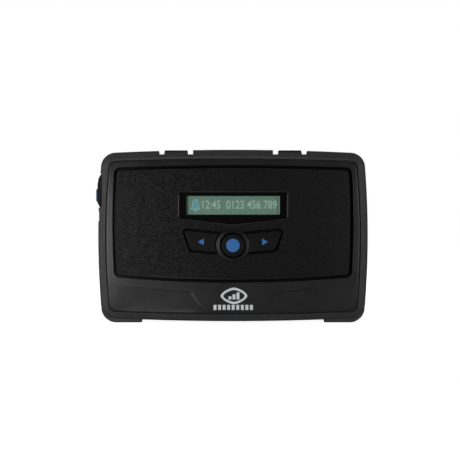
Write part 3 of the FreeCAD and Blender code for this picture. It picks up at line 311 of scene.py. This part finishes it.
def brushed_panel():
    """The faceplate: near-black, with short level strokes over a leathery grain, stronger at its left, a
    painted fade that follows the light from the left; paler on its chamfers, a painted highlight, and black
    on its sides, painted shade."""
    s = Surface("panel", 0.46)
    strokes = s.noise(2.9, 4.0, 0.65, (0.45, 1.0, 1.4), 0.2)
    # painted light: the strokes fade out towards the right, as the light grazing from the left shows them
    # less there
    plain = s.ramp(s.axis("X"), *STROKES_LIGHT_FADE, 0.0, 0.65)
    marks = s.mix(plain, s.ramp(strokes, 0.36, 0.64), (0.5, 0.5, 0.5))
    leather = s.cells(2.6, (0.7, 1.0, 1.2))
    height = s.maths("ADD", marks, s.maths("MULTIPLY", leather, 0.25))
    height = s.maths("ADD", height, s.maths("MULTIPLY", s.noise(9.0, 2.0, 0.6), 0.1))
    colour = s.mix(marks, (0.0020, 0.0021, 0.0030), (0.0046, 0.0048, 0.0066))
    face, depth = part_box("faceplate")[0].y / MM, s.axis("Y")
    started = s.ramp(depth, face + CHAMFER_START[0], face + CHAMFER_START[1])
    not_ended = s.ramp(depth, face + CHAMFER_END[0], face + CHAMFER_END[1], 1.0, 0.0)
    chamfer_highlight = s.maths("MULTIPLY", started, not_ended)
    # painted highlight: the band of the chamfers is pale
    colour = s.mix(chamfer_highlight, colour, (0.050, 0.050, 0.053))
    # painted shade: the faceplate's side turns black
    depth_shade = s.ramp(depth, face + PANEL_SIDE_SHADE[0], face + PANEL_SIDE_SHADE[1])
    s.feed(s.mix(depth_shade, colour, PAINTED_SHADE_BLACK), "Base Color")
    shine = s.maths("MAXIMUM", s.ramp(marks, 0.0, 1.0, 0.06, 0.42), s.maths("MULTIPLY", chamfer_highlight, 0.5))
    s.feed(s.maths("MULTIPLY", shine, s.ramp(depth_shade, 0.0, 1.0, 1.0, 0.5)), "Specular IOR Level")
    s.feed(s.ramp(marks, 0.0, 1.0, 0.38, 0.56), "Roughness")
    s.feed(s.bump(height, 0.022, s.crown(*PANEL_CROWN, s.soft_edges(0.06))), "Normal")
    return s.material


def window_clear():
    """Hard-coated clear plastic with hairline scratches and frosted ends, pale grey as a painted highlight,
    which lets lamps through.
    """
    s = Surface("window", 0.03, IOR=1.49)
    hairs = s.ramp(s.noise(1.4, 5.0, 0.7, (0.15, 1.0, 2.2)), 0.66, 0.72, 0.0, 1.0)
    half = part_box("display_lens")[1].x / MM
    from_middle = s.maths("ABSOLUTE", s.axis("X"), 0.0)
    ground_and_highlight = s.ramp(from_middle, half - WINDOW_GROUND_AND_HIGHLIGHT[0], half - WINDOW_GROUND_AND_HIGHLIGHT[1])
    scratched = s.ramp(hairs, 0.0, 1.0, 0.02, 0.09)
    s.feed(s.maths("MAXIMUM", scratched, s.maths("MULTIPLY", ground_and_highlight, 0.5)), "Roughness")
    clear = s.mix(s.noise(0.1), (0.93, 0.95, 0.95), (0.98, 0.98, 0.98))
    # painted highlight: the frosted ends are pale grey instead of clear
    s.feed(s.mix(ground_and_highlight, clear, (0.036, 0.036, 0.036)), "Base Color")
    s.feed(s.ramp(ground_and_highlight, 0.0, 1.0, 1.0, 0.0), "Transmission Weight")
    lamp_rays = s.node("ShaderNodeLightPath").outputs["Is Shadow Ray"]
    passing, either = s.node("ShaderNodeBsdfTransparent"), s.node("ShaderNodeMixShader")
    s.link(lamp_rays, either.inputs["Fac"])
    s.link(s.shader.outputs["BSDF"], either.inputs[1])
    s.link(passing.outputs["BSDF"], either.inputs[2])
    s.link(either.outputs["Shader"], s.tree.nodes["Material Output"].inputs["Surface"])
    return s.material


def mask_print():
    """The dull black print behind the window."""
    s = Surface("mask_print", 0.45, Specular_IOR_Level=0.08)
    s.feed(s.mix(s.noise(3.0, 3.0), (0.0012, 0.0012, 0.0014), (0.0022, 0.0022, 0.0025)), "Base Color")
    s.feed(s.bump(s.noise(14.0), 0.002), "Normal")
    return s.material


def display_green():
    """Reflective display with a painted glow in place of the lamps' light: a green film of faint cells
    between a strip of painted shadow and a paler one.
    """
    s = Surface("display", 0.35)
    x = s.axis("X")
    grid_x = s.maths("PINGPONG", x, DISPLAY_CELL_HALF)
    grid_z = s.maths("PINGPONG", s.axis("Z"), DISPLAY_CELL_HALF)
    lines = s.ramp(s.maths("MINIMUM", grid_x, grid_z), 0.0, 0.03)
    film = s.mix(s.ramp(s.noise(0.5, 3.0), 0.3, 0.7), (0.067, 0.122, 0.090), (0.079, 0.138, 0.105))
    film = s.mix(lines, (0.058, 0.108, 0.080), film)
    # painted shadow along the film's left edge
    film = s.mix(s.ramp(x, *DISPLAY_SHADE, 1.0, 0.0), film, (0.016, 0.030, 0.023))
    film = s.mix(s.ramp(x, *DISPLAY_PALE), film, (0.088, 0.145, 0.115))
    # painted shade: a thin dark line where the paler strip begins
    near_shade_line = s.maths("ABSOLUTE", s.maths("SUBTRACT", x, DISPLAY_PALE[0]), 0.0)
    film = s.mix(s.ramp(near_shade_line, *DISPLAY_SHADE_LINE, 1.0, 0.0), film, (0.022, 0.042, 0.032))
    s.feed(film, "Base Color")
    # painted light: the film glows in place of the lamps' light that would reach it through the window
    s.feed(film, "Emission Color")
    s.shader.inputs["Emission Strength"].default_value = 0.85
    return s.material


def lit_marks(name, dark, light, strength):
    """Display segments: pale and faintly uneven, with a painted glow in place of the lamps' light."""
    s = Surface(name, 0.4)
    colour = s.mix(s.ramp(s.noise(2.5, 2.0), 0.3, 0.7), dark, light)
    s.feed(colour, "Base Color")
    # painted light: the marks glow in place of the lamps' light
    s.feed(colour, "Emission Color")
    s.shader.inputs["Emission Strength"].default_value = strength
    return s.material


def print_ink(name, full, thin, glow=0.0):
    """Pale pad print, thinner in places; `glow` stands for the light that bright ink throws back."""
    s = Surface(name, 0.5)
    colour = s.mix(s.ramp(s.noise(6.0, 4.0, 0.6), 0.42, 0.62), full, thin)
    s.feed(colour, "Base Color")
    s.feed(colour, "Emission Color")
    s.shader.inputs["Emission Strength"].default_value = glow
    s.feed(s.bump(s.noise(20.0, 2.0), 0.004), "Normal")
    return s.material


def board_mask():
    """Green solder mask over copper tracks."""
    s = Surface("board", 0.35)
    tracks = s.node("ShaderNodeTexBrick")
    tracks.inputs["Scale"].default_value = 0.5
    tracks.inputs["Mortar Size"].default_value = 0.06
    turn = s.node("ShaderNodeMapping")
    turn.inputs["Rotation"].default_value = (math.radians(90), 0, 0)
    turn.inputs["Scale"].default_value = (1 / MM, 1 / MM, 1 / MM)
    s.link(s.place, turn.inputs["Vector"])
    s.link(turn.outputs["Vector"], tracks.inputs["Vector"])
    green = s.mix(s.noise(0.4, 2.0), (0.012, 0.115, 0.045), (0.018, 0.150, 0.060))
    s.feed(s.mix(tracks.outputs["Fac"], green, (0.035, 0.22, 0.09)), "Base Color")
    s.feed(s.bump(tracks.outputs["Fac"], 0.03), "Normal")
    return s.material


def battery_film():
    """Grey shrink film, coated, with long faint wrinkles."""
    s = Surface("battery_film", 0.38, Coat_Weight=0.4, Coat_Roughness=0.15)
    wrinkles = s.noise(0.7, 3.0, 0.6, (1.0, 1.0, 0.3))
    s.feed(s.mix(s.ramp(wrinkles, 0.3, 0.7), (0.20, 0.21, 0.23), (0.26, 0.27, 0.29)), "Base Color")
    s.feed(s.bump(wrinkles, 0.12), "Normal")
    return s.material


def guide_frosted():
    """The display's frosted light guide."""
    s = Surface("light_guide", 0.6, Transmission_Weight=0.4, IOR=1.49)
    s.feed(s.mix(s.noise(2.0), (0.62, 0.74, 0.64), (0.75, 0.84, 0.76)), "Base Color")
    s.feed(s.bump(s.cells(2.2), 0.02), "Normal")
    return s.material


def foam_ring():
    """Black open-celled foam."""
    s = Surface("foam", 0.9)
    cells = s.cells(6.0)
    s.feed(s.mix(s.ramp(cells, 0.0, 0.6), (0.008, 0.008, 0.008), (0.035, 0.035, 0.036)), "Base Color")
    s.feed(s.bump(cells, 0.06), "Normal")
    return s.material


def make_materials():
    """Every material, by the name of the record's slot, or of the one node, that it finishes."""
    black = (0.0032, 0.0032, 0.0036)
    return {
        "bumper_rubber": moulded("bumper_rubber", (0.045, 0.045, 0.0455), (0.055, 0.055, 0.0555), 0.52,
                                 6.0, 0.010, 0.25, 0.25, Sheen_Weight=0.12, Sheen_Roughness=0.4),
        "guard_rubber": moulded("guard_rubber", black, (0.006, 0.006, 0.0065), 0.55, 6.0, 0.010, 0.2,
                                specular=0.22),
        "flap_plastic": moulded("flap_rubber", black, (0.007, 0.007, 0.0075), 0.55, 6.0, 0.010, 0.2,
                                specular=0.22),
        "bezel_plastic": moulded("bezel", (0.0165, 0.0165, 0.0180), (0.0215, 0.0215, 0.0234), 0.30,
                                 8.0, 0.004, 0.25, 0.06, FACE_CROWN, CHANNEL_SHADE),
        "case_plastic": moulded("case", (0.011, 0.011, 0.0115), (0.016, 0.016, 0.0165), 0.48,
                                4.0, 0.016, 0.3),
        "clip_plastic": moulded("clip", (0.009, 0.009, 0.0095), (0.013, 0.013, 0.0135), 0.42,
                                4.0, 0.014, 0.4),
        "seal_rubber": moulded("seal_rubber", (0.010, 0.010, 0.010), (0.018, 0.018, 0.018), 0.6),
        "mat_rubber": moulded("mat_rubber", (0.22, 0.23, 0.24), (0.28, 0.29, 0.30), 0.55, 5.0, 0.008),
        "foam": foam_ring(),
        "black_steel": metal("black_steel", (0.10, 0.10, 0.105), 0.38),
        "steel": metal("steel", (0.58, 0.58, 0.57), 0.28, (0.2, 1.0, 1.0)),
        "spring_steel": metal("spring_steel", (0.42, 0.42, 0.43), 0.25, (1.0, 0.3, 0.3)),
        "tinplate": metal("tinplate", (0.66, 0.66, 0.64), 0.33, (0.2, 1.0, 1.0)),
        "brass": metal("brass", (0.72, 0.52, 0.24), 0.3),
        "gilt": metal("gilt", (0.83, 0.62, 0.28), 0.22),
        "tungsten": metal("tungsten", (0.30, 0.30, 0.31), 0.5, grain_mm=0.02),
        "panel_plastic": brushed_panel(),
        "window": window_clear(),
        "mask_print": mask_print(),
        "display_glass": display_green(),
        "light_guide": guide_frosted(),
        "inner_plastic": moulded("inner_plastic", (0.010, 0.010, 0.011), (0.016, 0.016, 0.017), 0.45),
        "ring_plastic": moulded("ring", (0.008, 0.008, 0.0082), (0.011, 0.011, 0.0112), 0.36,
                                8.0, 0.003, 0.3, 0.1, specular=0.30),
        "key_plastic": moulded("keys", (0.0026, 0.0026, 0.0030), (0.0042, 0.0042, 0.0047), 0.42,
                               8.0, 0.004, 0.15, 0.12, shade_depths=KEY_SIDE_SHADE, specular=0.24),
        "blue_plastic": moulded("blue", (0.042, 0.185, 0.520), (0.055, 0.225, 0.600), 0.36,
                                9.0, 0.003, 0.2, 0.06),
        "call_key": moulded("side_blue", (0.016, 0.075, 0.190), (0.024, 0.095, 0.230), 0.55,
                            9.0, 0.003, 0.2, 0.06, specular=0.15),
        "board_laminate": board_mask(),
        "white_plastic": moulded("white_plastic", (0.60, 0.60, 0.56), (0.68, 0.68, 0.64), 0.4),
        "battery_wrap": battery_film(),
        "print_ink": print_ink("print_ink", (0.82, 0.83, 0.84), (0.62, 0.63, 0.64), 0.14),
        "label_ink": print_ink("label_ink", (0.50, 0.50, 0.49), (0.36, 0.36, 0.35)),
        "segments": lit_marks("segments", (0.18, 0.27, 0.23), (0.24, 0.34, 0.30), 0.55),
        "symbol": lit_marks("symbol", (0.045, 0.20, 0.23), (0.075, 0.27, 0.30), 0.45),
    }


def paint_nodes(materials):
    """Gives each CAD node the material of its own name, or else that of its slot in the record."""
    for entry in frame["record"]["subparts"]:
        node = frame["nodes"][entry["node"]]
        node.data.materials.clear()
        node.data.materials.append(materials.get(entry["node"], materials[entry["material_slot"]]))


# ---------------------------------------------------------------- added pieces

def finished(piece, material):
    """Gives a new piece its slot and material, smooth where its faces meet at less than 35 degrees."""
    piece.data.materials.append(material)
    piece.data.set_sharp_from_angle(angle=math.radians(35))
    return piece


def piece_from(name, mesh):
    """A new object in the scene from a bmesh, its normals turned outwards."""
    bmesh.ops.recalc_face_normals(mesh, faces=mesh.faces)
    data = bpy.data.meshes.new(name)
    mesh.to_mesh(data)
    mesh.free()
    data.shade_smooth()
    piece = bpy.data.objects.new(name, data)
    bpy.context.scene.collection.objects.link(piece)
    return piece


def add_flat(mesh, front, back, outer, inner=None):
    """Adds a flat shape in the XZ plane between two depths. An inner outline, of as many points as the
    outer one, cuts its middle."""
    loops = []
    for outline in (outer, inner) if inner else (outer,):
        for y in (front, back):
            loops.append([mesh.verts.new((x * MM, y, z * MM)) for x, z in outline])
    pairs = [(loops[0], loops[1])]
    if inner:
        pairs += [(loops[2], loops[3]), (loops[0], loops[2]), (loops[1], loops[3])]
    else:
        mesh.faces.new(loops[0])
        mesh.faces.new(loops[1])
    for one, other in pairs:
        for i in range(len(one)):
            mesh.faces.new((one[i - 1], one[i], other[i], other[i - 1]))


def flat_piece(name, shapes, front, thick):
    """A thin piece of several flat shapes, each an outline or a pair of outlines, seen from the front."""
    mesh = bmesh.new()
    for shape in shapes:
        add_flat(mesh, front, front + thick * MM, *shape)
    return piece_from(name, mesh)


def oblong(x, z, half_x, half_z, power=2.0, steps=48):
    """A closed curve round (x, z): an ellipse at power 2, squarer above, nearer to a lozenge below."""
    points = []
    for i in range(steps):
        turn = 2 * math.pi * i / steps
        c, d = math.cos(turn), math.sin(turn)
        points.append((x + half_x * math.copysign(abs(c) ** (2 / power), c),
                       z + half_z * math.copysign(abs(d) ** (2 / power), d)))
    return points


def bar(x, z, half_x, half_z):
    """A rectangle round (x, z)."""
    corners = ((-1, -1), (1, -1), (1, 1), (-1, 1))
    return [(x + side * half_x, z + end * half_z) for side, end in corners]


def printed_mark(materials):
    """Neutral print on the lower band: rising bars in a lozenge ring, over a row of short bars."""
    shapes = [(oblong(MARK_X, RING_Z, *RING_HALVES, RING_POWER),
               oblong(MARK_X, RING_Z, *RING_HOLE_HALVES, RING_POWER))]
    for i in range(RISING_COUNT):
        x = MARK_X + RISING_PITCH * (i - RISING_COUNT // 2)
        rise = RISING_STEP * i
        shapes.append((bar(x, RISING_Z + rise, MARK_BAR_HALF, RISING_HALF + rise),))
    for i in range(ROW_COUNT):
        x = ROW_X + ROW_PITCH * (i - ROW_COUNT // 2)
        shapes.append((bar(x, ROW_Z, MARK_BAR_HALF, ROW_HALF),))
    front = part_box("front_cover")[0].y - PRINT_PROUD * MM
    piece = flat_piece("band_print", shapes, front, PRINT_THICK)
    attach(finished(piece, materials["print_ink"]), "case")


def display_front():
    """Where the segments' front faces lie."""
    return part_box("lcd_glass")[0].y - DISPLAY_LIFT * MM


def display_line(materials):
    """A time and a number on the display, in narrow figures."""
    low, high = Vector(FIGURES_LOW) * MM, Vector(FIGURES_HIGH) * MM
    curve = bpy.data.curves.new("figures", "FONT")
    curve.body = FIGURES
    curve.offset = 0.012
    curve.extrude = 0.5
    curve.resolution_u = 6
    text = bpy.data.objects.new("figures", curve)
    bpy.context.scene.collection.objects.link(text)
    outlined = text.evaluated_get(bpy.context.evaluated_depsgraph_get())
    mesh = bmesh.new()
    mesh.from_mesh(bpy.data.meshes.new_from_object(outlined))
    bpy.data.objects.remove(text)
    bmesh.ops.remove_doubles(mesh, verts=mesh.verts, dist=1e-5)
    xs, zs = [v.co.x for v in mesh.verts], [v.co.y for v in mesh.verts]
    wide, tall = max(xs) - min(xs), max(zs) - min(zs)
    left, foot, front, thick = min(xs), min(zs), display_front(), SEGMENT_THICK * MM
    for v in mesh.verts:
        x, z, y = v.co
        v.co = (low.x + (x - left) / wide * (high.x - low.x), front + (0.5 - y) * thick,
                low.z + (z - foot) / tall * (high.z - low.z))
    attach(finished(piece_from("display_figures", mesh), materials["segments"]), "case")


def display_bell(materials):
    """A small bell at the display's left, in the symbols' colour with a pale outline: alert on."""
    x = BELL_X
    for name, front, material, inset in (("display_bell_edge", 0.0, "segments", 0.0),
                                         ("display_bell", -0.015, "symbol", 0.24)):
        side, foot = BELL_HALF - inset, BELL_LOW + inset
        flare, lip = BELL_LOW + BELL_DOME, BELL_LOW + BELL_LIP
        dome = [(x + 0.62 * side * math.cos(t), BELL_HIGH - BELL_DOME + (BELL_DOME - inset) * math.sin(t))
                for t in [math.pi * i / 12 for i in range(13)]]
        skirt = [(x - 0.68 * side, flare), (x - side, lip), (x - side, foot),
                 (x + side, foot), (x + side, lip), (x + 0.68 * side, flare)]
        clapper = oblong(x, BELL_LOW - 0.3, 0.62 - inset, 0.28 - inset / 3, 2.0, 16)
        shapes = [(dome + skirt,), (clapper,)]
        piece = flat_piece(name, shapes, display_front() + front * MM, SEGMENT_THICK)
        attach(finished(piece, materials[material]), "case")


def battery_marks(materials):
    """Label on the pack's outer face: a frame round plain lines, and a plus and a minus by the contacts."""
    low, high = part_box("battery_pack")
    x0, x1, z0, z1 = [value / MM for value in (low.x, high.x, low.z, high.z)]
    x, z = (x0 + x1) / 2 + LABEL_SHIFT, (z0 + z1) / 2
    shapes = [(oblong(x, z, *LABEL_HALVES, LABEL_POWER), oblong(x, z, *LABEL_HOLE_HALVES, LABEL_POWER))]
    for i, reach in enumerate(LABEL_LINES):
        line_z = z + LABEL_LINE_TOP - LABEL_LINE_PITCH * i
        shapes.append((bar(x + LABEL_LINE_LEFT + reach, line_z, reach, LABEL_LINE_HALF),))
    pole_x, plus_z = x0 + POLE_INSET, z + POLE_APART
    shapes += [(bar(pole_x, pole_z, POLE_REACH, POLE_HALF),) for pole_z in (plus_z, z - POLE_APART)]
    shapes += [(bar(pole_x, plus_z + arm, POLE_HALF, POLE_ARM_HALF),) for arm in (POLE_ARM, -POLE_ARM)]
    piece = flat_piece("battery_label", shapes, high.y - PRINT_SUNK * MM, PRINT_THICK)
    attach(finished(piece, materials["label_ink"]), "case")


def door_mark(materials):
    """A printed arrow beside the door's finger ridges, which points the way that it slides."""
    low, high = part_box("battery_door")
    x, z = high.x / MM - DOOR_ARROW_INSET, (low.z + high.z) / 2 / MM
    arrow = [(x + along, z + up) for along, up in DOOR_ARROW]
    piece = flat_piece("door_arrow", [(arrow,)], high.y - PRINT_SUNK * MM, PRINT_THICK)
    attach(finished(piece, materials["label_ink"]), "door")


def spring_line():
    """Centre line of the clip's spring round the pin: a leg, the coil and the other leg."""
    rise = SPRING_PITCH / (2 * math.pi)
    length = SPRING_PITCH * (SPRING_TURNS + (180 - SPRING_SLANT) / 360)
    steps = SPRING_TURN_STEPS * SPRING_TURNS

    def on_helix(turn):
        way = Vector((-math.sin(turn) * SPRING_R, math.cos(turn) * SPRING_R, rise)).normalized()
        return Vector((math.cos(turn) * SPRING_R, math.sin(turn) * SPRING_R, rise * turn)), way

    coil = [on_helix(length / rise * i / steps) for i in range(steps + 1)]
    (first, first_way), (last, last_way) = coil[0], coil[-1]
    line = [first - first_way * SPRING_LEGS[0] * part for part in reversed(SPRING_LEG_PARTS)]
    line += [point for point, way in coil]
    line += [last + last_way * SPRING_LEGS[1] * part for part in SPRING_LEG_PARTS]
    slant = Matrix.Rotation(math.radians(SPRING_SLANT - 90), 4, "X")
    turned = slant @ Matrix.Rotation(math.radians(90), 4, "Y")
    low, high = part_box("clip_pin")
    middle = (low + high) / 2
    start = Vector((middle.x - length / 2 * MM, middle.y, middle.z))
    return [turned @ point * MM + start for point in line]


def clip_spring(materials):
    """Round wire along the spring's line, between the case and the clip, in place of the CAD part's spring.
    """
    line, sides = spring_line(), SPRING_WIRE_SIDES
    mesh = bmesh.new()
    rings = []
    across = None
    for i, point in enumerate(line):
        way = (line[min(i + 1, len(line) - 1)] - line[max(i - 1, 0)]).normalized()
        across = way.orthogonal() if across is None else across - way * across.dot(way)
        across.normalize()
        other = way.cross(across)
        round_wire = [across * math.cos(t) + other * math.sin(t)
                      for t in [2 * math.pi * k / sides for k in range(sides)]]
        rings.append([mesh.verts.new(point + outward * SPRING_WIRE_R * MM) for outward in round_wire])
    for one, other in zip(rings, rings[1:]):
        for k in range(sides):
            mesh.faces.new((one[k - 1], one[k], other[k], other[k - 1]))
    mesh.faces.new(rings[0])
    mesh.faces.new(rings[-1])
    piece = finished(piece_from("clip_spring_wire", mesh), materials["spring_steel"])
    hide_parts("clip_spring")
    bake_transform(piece)


# ---------------------------------------------------------------- stage, light and camera

def stage_material():
    """Pale matt paper: even white to the eye out to the horizon, but it throws little light back."""
    s = Surface("stage", 0.9, Specular_IOR_Level=0.0)
    seen = s.node("ShaderNodeLightPath").outputs["Is Camera Ray"]
    pale = s.mix(s.noise(0.004), (0.90, 0.90, 0.90), (0.94, 0.94, 0.94))
    s.feed(s.mix(seen, (STAGE_BOUNCE,) * 3, pale), "Base Color")
    s.feed(pale, "Emission Color")
    away = s.node("ShaderNodeVectorMath", operation="LENGTH")
    s.link(s.place, away.inputs[0])
    glow = s.ramp(away.outputs["Value"], 0.1, 1.5, GLOW_NEAR, GLOW_FAR)
    s.feed(s.maths("MULTIPLY", seen, glow), "Emission Strength")
    return s.material


def make_stage():
    """A wide plain floor."""
    bpy.ops.mesh.primitive_plane_add(size=6.0, location=(0, 0, 0))
    floor = bpy.context.object
    floor.name = "floor"
    floor.data.materials.append(stage_material())


def make_world():
    """White behind everything, and a dim even sky for all that it lights."""
    world = bpy.data.worlds.new("studio")
    bpy.context.scene.world = world
    world.use_nodes = True
    nodes, links = world.node_tree.nodes, world.node_tree.links
    seen, lit = nodes["Background"], nodes.new("ShaderNodeBackground")
    mix = nodes.new("ShaderNodeMixShader")
    seen.inputs["Color"].default_value = (1, 1, 1, 1)
    lit.inputs["Color"].default_value = (1, 1, 1, 1)
    lit.inputs["Strength"].default_value = SKY
    links.new(nodes.new("ShaderNodeLightPath").outputs["Is Camera Ray"], mix.inputs["Fac"])
    links.new(lit.outputs["Background"], mix.inputs[1])
    links.new(seen.outputs["Background"], mix.inputs[2])
    links.new(mix.outputs["Shader"], nodes["World Output"].inputs["Surface"])


def soft_box(name, place, target, width, height, power):
    """A rectangular lamp, unseen by the camera, that faces its target. Metres and watts."""
    light = bpy.data.lights.new(name, "AREA")
    light.shape = "RECTANGLE"
    light.size, light.size_y, light.energy = width, height, power
    lamp = bpy.data.objects.new(name, light)
    lamp.location = place
    lamp.rotation_euler = (Vector(target) - Vector(place)).to_track_quat("-Z", "Y").to_euler()
    lamp.visible_camera = False
    bpy.context.scene.collection.objects.link(lamp)


def make_lights():
    """Soft lamps round the object, and a small one that shines up from the floor in front of it."""
    middle = (cad_low + cad_high) / 2
    soft_box("near_left", (-0.11, -0.24, 0.03), middle, 0.06, 0.06, 0.078)
    soft_box("close_left", (-0.10, -0.10, 0.03), middle, 0.04, 0.08, 0.041)
    soft_box("graze_left", (-0.30, -0.06, 0.06), middle, 0.08, 0.20, 0.043)
    soft_box("near_right", (0.13, -0.16, 0.04), middle, 0.05, 0.10, 0.080)
    soft_box("fill_right", (0.60, -0.22, 0.18), middle, 0.3, 0.4, 0.070)
    soft_box("front_left", (-0.50, -0.80, 0.65), middle, 0.45, 0.45, 0.3)
    soft_box("top", (0.0, -0.05, 1.0), middle, 0.8, 0.6, 0.40)
    soft_box("rear", (0.2, 0.8, 0.5), middle, 0.6, 0.5, 2.0)
    soft_box("floor_card", (-0.023, -0.027, 0.001), (-0.023, -0.027, 1.0), 0.022, 0.022, 0.0012)


def make_camera():
    """Square to the front face, and far enough off for the object to look flat."""
    data = bpy.data.cameras.new("camera")
    data.sensor_width = SENSOR_WIDTH
    data.lens = SENSOR_WIDTH * CAMERA_DISTANCE / VIEW_WIDTH
    camera = bpy.data.objects.new("camera", data)
    camera.location = (CAMERA_X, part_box("front_cover")[0].y - CAMERA_DISTANCE, CAMERA_Z)
    camera.rotation_euler = (math.radians(90), 0, 0)
    bpy.context.scene.collection.objects.link(camera)
    bpy.context.scene.camera = camera
    bpy.context.scene.view_settings.view_transform = "Standard"


materials = make_materials()
paint_nodes(materials)
for make in (printed_mark, display_line, display_bell, battery_marks, door_mark, clip_spring):
    make(materials)
make_stage()
make_world()
make_lights()
make_camera()
